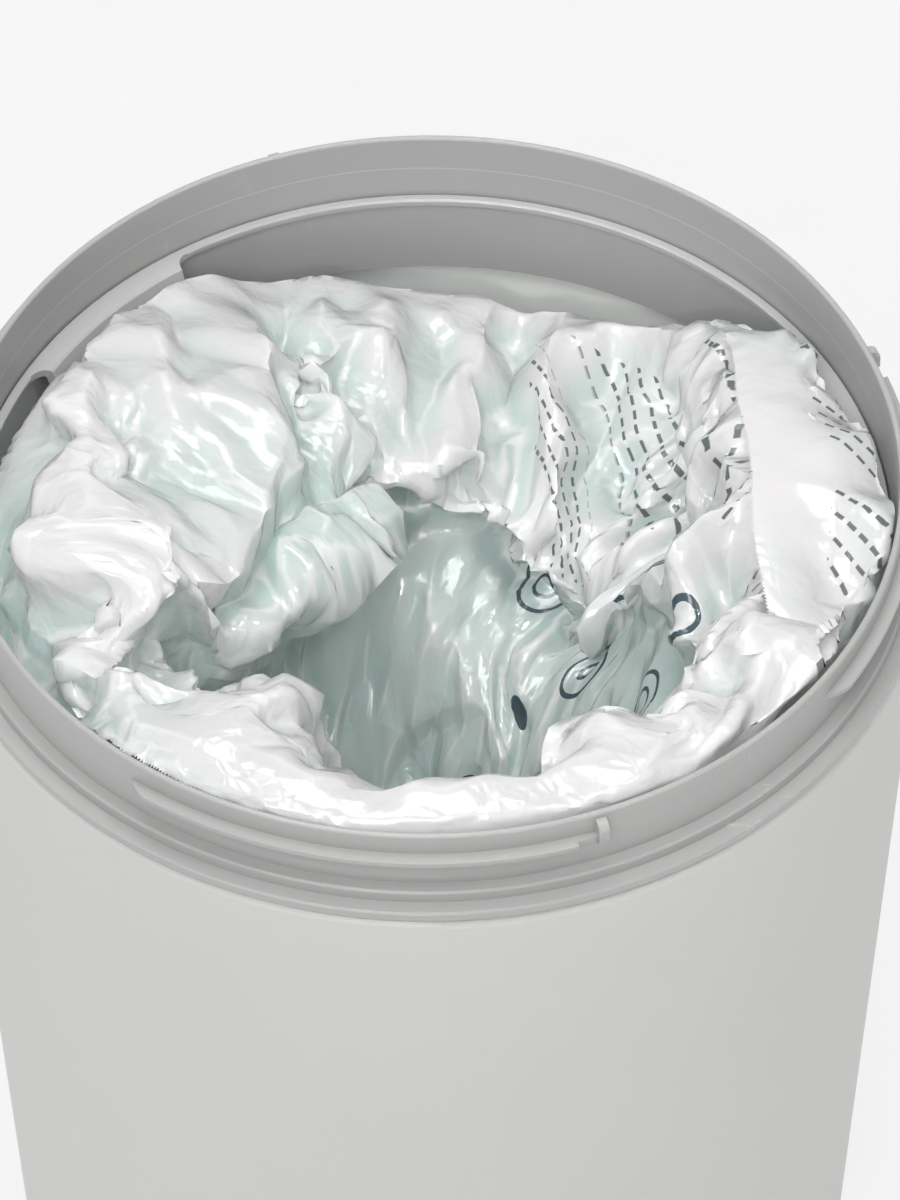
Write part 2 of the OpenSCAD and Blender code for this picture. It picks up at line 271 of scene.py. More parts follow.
@dataclass(frozen=True)
class Elastomer:
    """Moulded thermoplastic elastomer: a matt dark seal with a dusty, even surface."""

    name: str = "seal_elastomer"
    body: str = "3A3C3C"
    dusty: str = "4C4F4F"
    roughness: float = 0.75
    refraction: float = 1.5
    dust_mm: float = 6.0

    def build(self) -> bpy.types.Material:
        """Makes the material.

        Returns:
            The material.
        """
        material, tree = new_material(self.name)
        place = add_node(tree, "TexCoord").outputs["Object"]
        fine = {"Vector": place, "Scale": 1 / (self.dust_mm * MM), "Detail": 4.0}
        stops = ((0.4, self.body), (0.75, self.dusty))
        tone = add_node(tree, "ValToRGB", {"Fac": add_node(tree, "TexNoise", fine)}, stops=stops)
        surface = {"Base Color": tone, "Roughness": self.roughness, "IOR": self.refraction}
        add_node(tree, "OutputMaterial", {"Surface": add_node(tree, "BsdfPrincipled", surface)})
        return material


@dataclass(frozen=True)
class BlownPolythene:
    """Blown polythene film: thin, glossy and cloudy white, with a pale mint cast in flat places.

    Light passes through one layer and dies in several, so folds show as soft grey-green steps,
    and each crease catches a thin bright line. Here that line is a painted glint, a whiter tone
    painted along sharp creases, and the mint is also painted into hollows and deep in the bag as
    painted shade.
    """

    round_mm: float  # once round the tube of film
    name: str = "blown_polythene"
    white: str = "EFEDED"
    # The mint tone is partly the film's own cast and partly painted shade, where the mint level is raised
    # in hollows and deep in the bag.
    mint: str = "D2E3DF"
    painted_crease_glint: str = "FBFBFB"  # painted glint: a whiter line painted along each sharp crease
    row_ink: str = "6E7679"
    ring_ink: str = "4B5E66"
    roughness: float = 0.2
    gloss: float = 0.03  # roughness of the clear outer skin, which gives the thin bright glints
    refraction: float = 1.51
    crease_mm: float = 14.0
    crease_depth_mm: float = 2.6
    finer: float = 2.7  # how much closer the second set of creases lies
    warp_mm: float = 26.0
    warp_by_mm: float = 9.0
    through: float = 0.3  # share of the light that passes
    print_middle: float = 0.075  # middle of the printed part, as a share of the way round
    print_half: float = 0.125
    rows_at_mm: tuple[float, float] = (21.0, 92.0)  # the rows' stretch, from the cut end
    rings_at_mm: tuple[float, float] = (100.0, 200.0)
    row_turn: float = 0.9  # the printed rows run across the film at this angle in radians
    dash_mm: float = 4.6
    row_mm: float = 5.6
    block_mm: float = 37.0
    ring_mm: float = 36.0
    ring_lines: Table = ((0.27, 0.02), (0.13, 0.017))  # radius and half width, in parts of ring_mm

    def bands(self, tree: Tree, place: Source, direction: str, pitch_mm: float, start: float) -> Source:
        """Makes even bands across the film.

        Args:
            tree: The node tree.
            place: Places on the film in metres.
            direction: "X" or "Y".
            pitch_mm: Distance between bands.
            start: The wave's height, 0 to 1, from which a band counts.

        Returns:
            1 on a band and 0 between bands.
        """
        waves_per_unit = 20 / (2 * math.pi)  # the node's own number of waves per unit of scale
        scale = 1 / (pitch_mm * MM * waves_per_unit)
        wave = add_node(tree, "TexWave", {"Vector": place, "Scale": scale}, bands_direction=direction)
        edge = {"From Min": start - 0.04, "From Max": start + 0.04}
        return add_node(tree, "MapRange", {"Value": wave.outputs["Fac"], **edge})

    def printed(self, tree: Tree, flat: Source, tone: Source) -> Source:
        """Prints plain rows of dashes and double rings on part of the film.

        Args:
            tree: The node tree.
            flat: Places on the film in metres.
            tone: The film's own colour.

        Returns:
            The printed colour.
        """
        parts = add_node(tree, "SeparateXYZ", {0: flat})
        turns = {0: parts.outputs["X"], 1: 1 / (self.round_mm * MM), 2: 0.5 - self.print_middle}
        share = add_node(tree, "Math", turns, operation="MULTIPLY_ADD")
        wrapped = add_node(tree, "Math", {0: share}, operation="FRACT")
        side = add_node(tree, "Math", {0: wrapped, 1: 0.5, 2: self.print_half}, operation="COMPARE")
        turned = add_node(tree, "Mapping", {"Vector": flat, "Rotation": (0, 0, self.row_turn)})
        rows = (
            self.bands(tree, turned, "Y", self.row_mm, 0.89),
            self.bands(tree, turned, "X", self.dash_mm, 0.3),
            self.bands(tree, turned, "Y", self.block_mm, 0.22),
        )
        spots = {"Vector": flat, "Scale": 1 / (self.ring_mm * MM), "Randomness": 0.45}
        cells = add_node(tree, "TexVoronoi", spots)
        outer, inner = (
            add_node(tree, "Math", {0: cells, 1: radius, 2: half}, operation="COMPARE")
            for radius, half in self.ring_lines
        )
        rings = (add_node(tree, "Math", {0: outer, 1: inner}, operation="MAXIMUM"),)
        for ink, (start, end), marks in (
            (self.row_ink, self.rows_at_mm, rows),
            (self.ring_ink, self.rings_at_mm, rings),
        ):
            stretch = {0: parts.outputs["Y"], 1: (start + end) / 2 * MM, 2: (end - start) / 2 * MM}
            inked = add_node(tree, "Math", stretch, operation="COMPARE")
            for mark in (*marks, side):
                inked = add_node(tree, "Math", {0: inked, 1: mark}, operation="MULTIPLY")
            tone = add_node(tree, "MixRGB", {0: inked, 1: tone, 2: srgb(ink)})
        return tone

    def creases(self, tree: Tree, flat: Source, crumple: Source) -> Source:
        """Makes the creases that are too small for the mesh.

        Args:
            tree: The node tree.
            flat: Places on the film in metres.
            crumple: How crumpled the film is.

        Returns:
            The bumped normal.
        """
        warp = add_node(tree, "TexNoise", {"Vector": flat, "Scale": 1 / (self.warp_mm * MM), "Detail": 2.0})
        by = {0: warp.outputs["Color"], "Scale": self.warp_by_mm * MM}
        bent = add_node(tree, "VectorMath", by, operation="SCALE")
        at = add_node(tree, "VectorMath", {0: flat, 1: bent}, operation="ADD")
        ridge, fine = (
            add_node(tree, "TexVoronoi", {"Vector": at, "Scale": scale}, feature="DISTANCE_TO_EDGE")
            for scale in (1 / (self.crease_mm * MM), self.finer / (self.crease_mm * MM))
        )
        both = add_node(tree, "Math", {0: fine, 1: 0.3, 2: ridge}, operation="MULTIPLY_ADD")
        heights = add_node(tree, "Math", {0: both, 1: crumple}, operation="MULTIPLY")
        depth = {"Height": heights, "Strength": 0.8, "Distance": self.crease_depth_mm * MM}
        return add_node(tree, "Bump", depth)

    def build(self) -> bpy.types.Material:
        """Makes the material.

        Returns:
            The material.
        """
        material, tree = new_material(self.name)
        flat = add_node(tree, "UVMap", uv_map="film").outputs[0]
        crumple, mint, crease = (
            add_node(tree, "Attribute", attribute_name=name).outputs["Fac"]
            for name in ("crumple", "mint", "crease")
        )
        bump = self.creases(tree, flat, crumple)
        # The mint level mixes in the mint tone: the film's cast, plus painted shade in hollows and deep
        # inside.
        stops = ((0.1, self.white), (0.85, self.mint))
        plain = add_node(tree, "ValToRGB", {"Fac": mint}, stops=stops)
        # Painted glint: a whiter tone painted along sharp creases.
        sharp = {"Value": crease, "From Min": 0.3, "From Max": 1.0, "To Max": 0.8}
        pale = add_node(tree, "MapRange", sharp)
        tone = add_node(tree, "MixRGB", {0: pale, 1: plain, 2: srgb(self.painted_crease_glint)})
        tone = self.printed(tree, flat, tone)
        surface = {"Base Color": tone, "Normal": bump, "Roughness": self.roughness, "IOR": self.refraction}
        skin = {"Coat Weight": 1.0, "Coat Roughness": self.gloss, "Coat Normal": bump}
        shader = add_node(tree, "BsdfPrincipled", {**surface, **skin})
        glow = add_node(tree, "BsdfTranslucent", {"Color": tone, "Normal": bump})
        mix = add_node(tree, "MixShader", {0: self.through, 1: shader, 2: glow})
        add_node(tree, "OutputMaterial", {"Surface": mix})
        return material


@dataclass(frozen=True)
class StudioPaper:
    """Matt white background paper: it keeps the bin's shadow and shows as a plain pale field."""

    name: str = "studio_paper"
    sheet: str = "F6F6F6"
    fibre: str = "F5F5F5"
    fibre_mm: float = 40.0
    roughness: float = 0.95
    glow: float = 0.86  # how much of the paper's own tone the camera and reflections see

    def build(self) -> bpy.types.Material:
        """Makes the material.

        Returns:
            The material.
        """
        material, tree = new_material(self.name)
        place = add_node(tree, "TexCoord").outputs["Object"]
        matted = {"Vector": place, "Scale": 1 / (self.fibre_mm * MM), "Detail": 5.0}
        stops = ((0.35, self.fibre), (0.65, self.sheet))
        tone = add_node(tree, "ValToRGB", {"Fac": add_node(tree, "TexNoise", matted)}, stops=stops)
        surface = {"Base Color": tone, "Roughness": self.roughness, "Specular IOR Level": 0.0}
        shader = add_node(tree, "BsdfPrincipled", surface)
        light = add_node(tree, "Emission", {"Color": tone, "Strength": 1.0})
        rays = add_node(tree, "LightPath")
        seen_by = {0: rays.outputs["Is Camera Ray"], 1: rays.outputs["Is Glossy Ray"]}
        seen = add_node(tree, "Math", seen_by, operation="MAXIMUM")
        share = add_node(tree, "Math", {0: seen, 1: self.glow}, operation="MULTIPLY")
        mix = add_node(tree, "MixShader", {0: share, 1: shader, 2: light})
        add_node(tree, "OutputMaterial", {"Surface": mix})
        return material


class Softness(Enum):
    """How large a studio light is, which sets how soft its shadows are."""

    HARD = 0.14
    SOFT = 0.9
    BROAD = 1.6


@dataclass(frozen=True)
class Lamp:
    """A square studio light, placed in metres."""

    name: str
    place: Place
    softness: Softness
    watts: float
    aim: Place = (0, 0, 0.25)
    cone: float = 180.0  # how wide it shines, in degrees

    def build(self) -> None:
        """Hangs the light and turns it to what it faces."""
        data = bpy.data.lights.new(self.name, "AREA")
        data.shape = "SQUARE"
        data.size = self.softness.value
        data.energy = self.watts
        data.spread = math.radians(self.cone)
        light = bpy.data.objects.new(self.name, data)
        light.location = self.place
        light.rotation_mode = "QUATERNION"
        light.rotation_quaternion = (Vector(self.aim) - Vector(self.place)).to_track_quat("-Z", "Y")
        bpy.context.scene.collection.objects.link(light)


@dataclass
class Studio:
    """The floor, the lights and the camera."""

    lens_mm: float = 150.0
    sensor_mm: float = 36.0
    camera_at: Place = (0.0, -840.4, 1207.1)
    tilt: float = 48.7513  # how far the camera looks down, in degrees, as pan and roll are
    pan: float = -0.3538
    roll: float = -0.1647
    floor_half: float = 6000.0
    floor_drop: float = 0.2
    room: str = "F4F5F5"
    room_strength: float = 0.54
    paper: StudioPaper = StudioPaper()
    lamps: tuple[Lamp, ...] = (
        Lamp("front", (-0.25, -1.4, 2.1), Softness.SOFT, 18.5),
        Lamp("key_left", (-1.4, -0.6, 2.1), Softness.BROAD, 5.5),
        Lamp("fill_right", (1.7, -1.1, 1.1), Softness.BROAD, 1.0),
        Lamp("spark_left", (-0.7, -0.9, 1.9), Softness.HARD, 2.6),
        Lamp("spark_right", (0.8, -0.4, 2.0), Softness.HARD, 4.0),
        Lamp("top_back", (-0.1, 0.3, 2.1), Softness.SOFT, 12.0),
        Lamp("inside_back", (-0.1, -1.3, 1.3), Softness.HARD, 0.026, (0.04, 0.11, 0.25), 12.0),
    )

    def build_camera(self) -> None:
        """Sets up the camera at the photograph's angle."""
        data = bpy.data.cameras.new("camera")
        data.lens = self.lens_mm
        data.sensor_width = self.sensor_mm
        data.clip_start, data.clip_end = 0.05, 50.0
        tilt, pan, roll = (math.radians(a) for a in (self.tilt, self.pan, self.roll))
        turn = Matrix.Rotation(pan, 3, "Z")
        level = turn @ Vector((1, 0, 0))
        forward = turn @ Vector((0, math.cos(tilt), -math.sin(tilt)))
        upright = turn @ Vector((0, math.sin(tilt), math.cos(tilt)))
        right = level * math.cos(roll) + upright * math.sin(roll)
        up = upright * math.cos(roll) - level * math.sin(roll)
        camera = bpy.data.objects.new("camera", data)
        frame = Matrix((right, up, -forward)).transposed().to_4x4()
        frame.translation = Vector(self.camera_at) * MM
        camera.matrix_world = frame
        bpy.context.scene.collection.objects.link(camera)
        bpy.context.scene.camera = camera

    def build_floor(self) -> None:
        """Lays the paper that the bin stands on."""
        mesh = bpy.data.meshes.new("floor")
        half = self.floor_half * MM
        corners = [(-half, -half, 0), (half, -half, 0), (half, half, 0), (-half, half, 0)]
        mesh.from_pydata(corners, [], [(0, 1, 2, 3)])
        floor = bpy.data.objects.new("floor", mesh)
        floor.location.z = -self.floor_drop * MM
        mesh.materials.append(self.paper.build())
        bpy.context.scene.collection.objects.link(floor)

    def build_light(self) -> None:
        """Sets up the soft studio light and the pale room."""
        for lamp in self.lamps:
            lamp.build()
        world = bpy.data.worlds.new("room")
        world.use_nodes = True
        tree = world.node_tree
        tree.nodes.clear()
        pale = {"Color": srgb(self.room), "Strength": self.room_strength}
        add_node(tree, "OutputWorld", {"Surface": add_node(tree, "Background", pale)})
        bpy.context.scene.world = world
        bpy.context.scene.view_settings.view_transform = "Standard"

    def build(self) -> None:
        """Builds the whole studio."""
        self.build_camera()
        self.build_floor()
        self.build_light()
        LOG.info("studio with %d lights", len(self.lamps))


@dataclass
class MouldedParts:
    """The tub, seal, collar and film ring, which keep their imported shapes."""

    # The tub's inward faces get a lighter painted tone: painted light on its inside wall.
    tub: MouldedPolypropylene = MouldedPolypropylene(
        "tub_polypropylene", "CBCBC9", "C8C8C6", inside="FBFBF9"
    )
    collar: MouldedPolypropylene = MouldedPolypropylene(
        "collar_polypropylene", "ACACAB", "A8A8A7", roughness=0.36, parting_mm=288.6, scuff=0.4
    )
    ring: MouldedPolypropylene = MouldedPolypropylene(
        "ring_polypropylene", "B8B9B8", "B4B5B4", roughness=0.34, scuff=0.3
    )
    seal: Elastomer = Elastomer()

    def build(self) -> None:
        """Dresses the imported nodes."""
        finishes = (self.tub, self.collar, self.ring, self.seal)
        for node, finish in zip(("tub_body", "collar_ring", "film_ring", "collar_seal"), finishes):
            dress(node, finish.build())
            LOG.info("dressed %s in %s", node, finish.name)


def unit(vectors: np.ndarray) -> np.ndarray:
    """Scales vectors to a length of 1.

    Args:
        vectors: Vectors along the last axis.

    Returns:
        The unit vectors.
    """
    return vectors / (np.linalg.norm(vectors, axis=-1, keepdims=True) + TINY)


def off_azimuth(azimuths: np.ndarray, middle: float) -> np.ndarray:
    """Measures azimuths from a middle one, the short way round.

    Args:
        azimuths: Azimuths in degrees.
        middle: Where to measure from.

    Returns:
        Degrees, half a turn at most either way.
    """
    return (azimuths - middle + TURN / 2) % TURN - TURN / 2


def round_knots(knots: Table, azimuths: np.ndarray, blur: float = 4.0) -> np.ndarray:
    """Reads smooth values round the rim from a few given ones.

    Args:
        knots: Each an azimuth in degrees and the values there, in rising order.
        azimuths: Evenly spaced azimuths in degrees, once round.
        blur: How far the corners are rounded, in degrees.

    Returns:
        One row of values for each azimuth.
    """
    table = np.array(knots, float)
    count = len(azimuths)
    lags = np.minimum(np.arange(count), count - np.arange(count)) * TURN / count
    kernel = np.exp(-0.5 * (lags / blur) ** 2)
    kernel /= kernel.sum()
    columns = [np.interp(azimuths, table[:, 0], column, period=TURN) for column in table.T[1:]]
    smooth = [np.real(np.fft.ifft(np.fft.fft(c) * np.fft.fft(kernel))) for c in columns]
    return np.stack(smooth, axis=1)


def halved(values: np.ndarray, turn: float) -> np.ndarray:
    """Puts a row between each two rows, and a column between each two columns once round.

    Args:
        values: Rows x columns x values.
        turn: What the first value gains in one turn.

    Returns:
        The finer rows and columns.
    """
    tall = np.empty((2 * len(values) - 1,) + values.shape[1:])
    tall[0::2] = values
    tall[1::2] = (values[:-1] + values[1:]) / 2
    after = np.roll(tall, -1, axis=1)
    after[:, -1, 0] += turn
    fine = np.empty((len(tall), 2 * tall.shape[1], tall.shape[2]))
    fine[:, 0::2] = tall
    fine[:, 1::2] = (tall + after) / 2
    return fine


@dataclass
class SheetGrid:
    """A tube of sheet as a grid: rows along its length, columns round it."""

    points: np.ndarray  # rows x columns x 3, where the sheet is, in mm
    flat: np.ndarray  # rows x columns x 2, the same points on the sheet laid flat, in mm
    hold: float  # how strongly each point is held to the way laid out for it
    perimeter: float  # the sheet's own distance round the tube
    window: int = 2  # how many faces each way a facet's direction is evened out over
    window_fall: float = 6.0  # how fast that fades with the distance in faces, squared
    sharpest: float = 0.3  # one less the cosine of a bend that counts as fully sharp

    def refined(self) -> SheetGrid:
        """Halves the spacing of the grid.

        Returns:
            The finer grid.
        """
        points, flat = halved(self.points, 0.0), halved(self.flat, self.perimeter)
        return SheetGrid(points, flat, self.hold / 2, self.perimeter)

    def corners(self) -> tuple[np.ndarray, ...]:
        """Gives the four corners of each face.

        Returns:
            The corner itself, the next one round, the next one down, and the one across.
        """
        low, high = self.points[:-1], self.points[1:]
        return low, np.roll(low, -1, axis=1), high, np.roll(high, -1, axis=1)

    def normals(self) -> np.ndarray:
        """Gives the sheet's outward direction at each point.

        Returns:
            Unit vectors.
        """
        around = np.roll(self.points, -1, axis=1) - np.roll(self.points, 1, axis=1)
        return unit(np.cross(around, np.gradient(self.points, axis=0)))

    def facets(self, rounds: int, likeness: float) -> np.ndarray:
        """Evens out the directions of the faces, but not across a crease.

        Args:
            rounds: How often they are evened out.
            likeness: Directions that differ by less than about this much are evened out.

        Returns:
            Each face's new direction.
        """
        a, b, c, d = self.corners()
        normal = unit(np.cross(d - a, c - b))
        count, reach = len(normal), self.window
        for _ in range(rounds):
            padded = np.concatenate((normal[:reach][::-1], normal, normal[-reach:][::-1]))
            total = np.zeros_like(normal)
            for down in range(2 * reach + 1):
                for over in range(-reach, reach + 1):
                    other = np.roll(padded[down : down + count], over, axis=1)
                    unlike = ((other - normal) ** 2).sum(axis=2, keepdims=True) / (2 * likeness**2)
                    apart = ((down - reach) ** 2 + over**2) / self.window_fall
                    total += other * np.exp(-unlike - apart)
            normal = unit(total)
        return normal

    def crisped(self, rounds: int, likeness: float, follow: int) -> np.ndarray:
        """Draws the sheet into flat facets that meet in sharp creases, where its own folds run.

        Args:
            rounds: How often the facets' directions are evened out.
            likeness: Directions that differ by less than about this much are evened out.
            follow: How often the points are moved to follow the facets.

        Returns:
            How sharp the crease is at each point, from 0 to 1.
        """
        normal = self.facets(rounds, likeness)
        count = len(normal)
        for _ in range(follow):
            middle = sum(self.corners()) / 4
            move = np.zeros_like(self.points)
            for down in (0, 1):
                for over in (0, 1):
                    here = np.roll(self.points[down : down + count], -over, axis=1)
                    push = normal * (normal * (middle - here)).sum(axis=2, keepdims=True)
                    move[down : down + count] += np.roll(push, over, axis=1) / 4
            self.points[2:-2] += move[2:-2]
        sharp = np.zeros(self.points.shape[:2])
        before = np.roll(normal, 1, axis=1)
        for one, two in ((normal[1:], before[:-1]), (normal[:-1], before[1:])):
            sharp[1:-1] = np.maximum(sharp[1:-1], 1 - (one * two).sum(axis=2))
        return np.clip(sharp / self.sharpest, 0, 1)


@dataclass
class SheetSolver:
    """Finds how a sheet that doesn't stretch lies in a space that is too small for it."""

    rounds: int
    slack: float  # share of the sheet's own lengths that is let out so far
    stiff: float  # how far a bend is opened up in each round
    yield_at: float = 0.75  # a bend folded tighter than this share stays as a crease
    end_hold: float = 0.06  # how strongly the cut end is held to its way, and the foot to its own
    foot_hold: float = 0.25

    def links(self, grid: SheetGrid, base: np.ndarray, looseness: Looseness) -> Links:
        """Lists the links between points, in sets that share no point.

        Args:
            grid: The sheet.
            base: The way laid out for each point.
            looseness: Gives the spare film round and along the tube, as shares, at places on it.

        Returns:
            For each set: first points, second points, lengths, and whether it is a bend.
        """
        rows, columns = grid.points.shape[:2]
        number = np.arange(rows * columns).reshape(rows, columns)
        right, far = np.roll(number, -1, axis=1), np.roll(number, -2, axis=1)
        pairs = []
        for start in (0, 1):
            over = number[start + 1 : rows : 2]
            low = number[start : rows - 1 : 2][: len(over)]
            pairs.append((number[:, start::2], right[:, start::2], False))
            pairs += [(low, np.roll(over, turn, axis=1), False) for turn in (0, -1, 1)]
        for start in range(4):
            keep = np.arange(columns) % 4 == start
            over = number[start + 2 : rows : 4]
            pairs.append((number[:, keep], far[:, keep], True))
            pairs.append((number[start : rows - 2 : 4][: len(over)], over, True))
        flat, home = grid.flat.reshape(-1, 2), base.reshape(-1, 3)
        spare = looseness(flat)
        half_round = grid.perimeter / 2
        found = []
        for first, second, bend in pairs:
            first, second = first.ravel(), second.ravel()
            step = flat[second] - flat[first]
            step[:, 0] = (step[:, 0] + half_round) % grid.perimeter - half_round
            step /= np.hypot(step[:, 0], step[:, 1])[:, None]
            room = np.sqrt((((spare[first] + spare[second]) / 2) ** 2 * step**2).sum(axis=1))
            span = np.linalg.norm(home[second] - home[first], axis=1)
            rest = span * (1 + (room - 1) * self.slack)
            found.append((first, second, rest.astype(np.float32), bend))
        return found

    def settle(self, grid: SheetGrid, base: np.ndarray, looseness: Looseness, limit: Limit) -> None:
        """Moves the sheet's points until its lengths hold.

        Args:
            grid: The sheet, changed in place.
            base: Where each point would like to be.
            looseness: Gives the spare film round and along the tube, as shares, at places on it.
            limit: Keeps points clear of what is round the sheet.
        """
        shape = grid.points.shape
        points = grid.points.reshape(-1, 3).astype(np.float32)
        home = base.reshape(-1, 3).astype(np.float32)
        hold = np.full((shape[0], shape[1], 1), grid.hold, np.float32)
        hold[-max(2, shape[0] // 9) :] = self.foot_hold
        hold[: max(2, shape[0] // 12)] = self.end_hold
        hold = hold.reshape(-1, 1)
        sets = self.links(grid, base, looseness)
        for _ in range(self.rounds):
            for a, b, rest, bend in sets:
                step = points[b] - points[a]
                span = np.sqrt(np.einsum("ij,ij->i", step, step)) + 1e-6
                push = rest / span - 1
                if bend:
                    give = np.clip((span / rest - self.yield_at) / (1 - self.yield_at), 0.1, 1)
                    push = np.maximum(push, 0) * self.stiff * give
                step *= (0.5 * push)[:, None]
                points[a] -= step
                points[b] += step
            points += hold * (home - points)
            limit(points)
        grid.points = points.reshape(shape).astype(float)


@dataclass(frozen=True)
class RoomForFilm:
    """The space that the collar, the film ring and the tub leave for the film."""

    lip: float = 300.0
    collar_r: float = 115.2
    window_r: float = 112.2  # next to a window of the ring
    tongue_r: float = 108.6  # next to a tongue, at its top
    tongue_lean: float = 0.31  # how far a tongue leans inwards for each mm down
    tongue_top: float = -19.5  # a drop, as ledge_drop and tub_drop are
    tongue_tall: float = 19.0
    tongues: tuple[float, ...] = (19.0, 139.0, 259.0)  # azimuths of the tongues' middles
    tongue_half: float = 20.0
    tongue_fade: float = 4.0
    ledge_drop: float = -19.0
    tub_drop: float = -46.0  # from here down the film keeps inside tub_r
    tub_r: float = 102.0
    floor: float = 15.0
    head: float = 20.0  # how far over the lip the film may stand

    def keep_clear(self, points: np.ndarray) -> None:
        """Keeps points inside the collar and clear of the film ring's ledge and tongues.

        Args:
            points: Points x 3 in mm, changed in place.
        """
        radius = np.hypot(points[:, 0], points[:, 1]) + 1e-6
        azimuth = np.degrees(np.arctan2(points[:, 1], points[:, 0]))
        drop = points[:, 2] - self.lip
        near = np.full(len(points), TURN / 2)
        for middle in self.tongues:
            near = np.minimum(near, np.abs(off_azimuth(azimuth, middle)))
        share = np.clip((self.tongue_half - near) / self.tongue_fade, 0, 1)
        narrowed = self.tongue_lean * np.clip(self.tongue_top - drop, 0, self.tongue_tall)
        under = (1 - share) * self.window_r + share * (self.tongue_r - narrowed)
        bound = under + (self.collar_r - under) * np.clip(drop - self.ledge_drop, 0, 1)
        bound = np.where(drop < self.tub_drop, np.minimum(bound, self.tub_r), bound)
        points[:, :2] *= np.minimum(1, bound / radius)[:, None]
        points[:, 2] = np.clip(points[:, 2], self.floor, self.lip + self.head)


@dataclass
class FilmBag:
    """The bag: one tube of film, knotted at its foot and laid over the film ring's ledge."""

    perimeter: float = 740.0  # once round the tube
    length: float = 520.0  # from the cut end to the knot's tail
    length_ease: float = 1.03  # how much longer the film is, at least, than the way it takes
    columns: int = 48  # of the coarsest grid, as are the rows
    rows: int = 35
    jog: float = 0.32  # how far a point of that grid strays, in parts of its spacing
    hold: float = 0.02
    narrowest: float = 22.0  # half width of the narrowest fold that the coarsest grid takes
    tooth: float = 1.0  # height of the teeth along the cut end
    sharp_angle: float = 65.0  # edges that bend more than this are shaded as sharp, in degrees
    seed: int = 7
    room: RoomForFilm = RoomForFilm()
    # From the coarsest grid to the finest: the solver's rounds, slack and stiffness
    passes: Table = ((450, 0.80, 0.25), (260, 0.90, 0.12), (130, 0.96, 0.06), (50, 1.0, 0.05))
    # Creases: shortest and longest distance between like ones, their steepness, number of sets
    broad_creases: tuple[float, ...] = (38, 130, 0.42, 12)
    small_creases: tuple[float, ...] = (10, 36, 0.65, 14)
    # Large folds: a chain of azimuth and distance from the cut end, then height, half width and
    # how far the fold leans over
    folds: tuple[tuple[tuple[tuple[float, float], ...], float, float, float], ...] = (
        (((128, 44), (142, 70), (159, 80), (172, 88), (186, 82), (200, 66)), 8, 24, 8),
        (((105, 16), (107, 38), (112, 60), (120, 76)), 7, 17, -4),
        (((118, 40), (126, 62), (134, 76)), -5, 16, 0),
        (((190, 24), (198, 28), (208, 28), (219, 22)), 4, 18, 0),
        (((172, 80), (186, 60), (191, 44), (190, 26)), 5, 16, 3),
        (((144, 30), (159, 54), (170, 72)), 4, 14, 2),
        (((160, 26), (177, 40), (187, 34)), 4, 15, 2),
        (((98, 22), (99, 54), (106, 84)), 4, 16, 0),
        (((82, 14), (84, 44), (78, 72), (84, 96)), 3, 24, 0),
        (((74, 12), (76, 48), (74, 90), (70, 116)), -9, 13, 0),
        (((67, 12), (68, 42), (65, 72), (60, 106), (50, 142)), 8, 16, -3),
        (((50, 14), (43, 40), (34, 74), (20, 112)), -8, 13, 0),
        (((40, 20), (30, 50), (14, 78), (0, 90)), 5, 15, 2),
        (((8, 100), (350, 98), (335, 74)), -6, 15, 0),
        (((350, 60), (340, 76), (329, 62), (312, 44), (296, 22)), 6, 18, 4),
        (((338, 20), (322, 32), (306, 22)), 4, 15, 3),
        (((222, 28), (228, 46), (240, 54), (250, 40)), 4, 15, 0),
        (((158, 120), (132, 126), (96, 140), (74, 152), (60, 172)), 14, 28, 14),
        (((64, 150), (64, 190)), 8, 16, 6),
    )
    # How crumpled the film is in places: azimuth, distance from the cut end, half width in
    # degrees, half length, level
    patches: Table = (
        (128, 30, 18, 22, 0.08), (165, 98, 28, 13, 0.05), (175, 45, 16, 20, 0.35),
        (200, 45, 12, 20, 0.4), (226, 40, 12, 18, 0.4), (262, 16, 34, 18, 0.15), (318, 38, 16, 20, 0.6),
        (5, 8, 24, 16, 0.05), (20, 75, 18, 24, 0.9), (58, 70, 9, 60, 0.12), (88, 60, 13, 34, 0.12),
        (111, 75, 8, 22, 0.65), (110, 155, 90, 30, 0.06), (300, 155, 90, 30, 0.1),
        (322, 14, 22, 13, 0.1),
    )
    # Where the mint level is stronger or weaker, as the film's cast and as painted shade: the same, with an
    # amount for the level
    mint_and_shade_spots: Table = (
        (8, 25, 22, 26, -0.4), (146, 98, 24, 26, 0.6), (115, 60, 9, 25, 0.3), (45, 62, 12, 26, 0.2),
        (90, 50, 14, 24, 0.15), (203, 12, 16, 12, 0.6),
    )
    # The cut end: azimuth, radius, drop. On the right it is folded back over.
    cut_end: Table = (
        (0, 80, -1), (18, 81, -2), (36, 94, -8), (47, 104, -28), (60, 101, -49), (75, 100, -50),
        (88, 100, -46), (103, 101, -42), (116, 103, -37), (130, 101, -27), (145, 101, -22),
        (160, 107, -17), (177, 111, -20), (200, 114.5, -12), (215, 115, -6), (232, 115.2, -1),
        (260, 115.2, -1.5), (285, 114.5, -6), (300, 114.5, -12), (314, 113, -16), (325, 103, -9),
        (333, 91, -4), (345, 82, -1),
    )
    # The shoulder next to the collar's wall or over the ledge
    shoulder: Table = (
        (0, 114, -6), (18, 112, -8), (36, 105, -14), (47, 103, -28), (60, 101, -44), (75, 98, -45),
        (88, 98, -41), (103, 100, -36), (116, 102, -29), (130, 101, -18), (145, 100, -10),
        (160, 103, -7), (177, 105, -16), (190, 106, -24), (205, 107, -24), (218, 110, -12),
        (232, 112, 0), (254, 112, 1.5), (270, 112, 0.5), (290, 113, -1), (315, 114, -3),
        (335, 114.5, -4),
    )
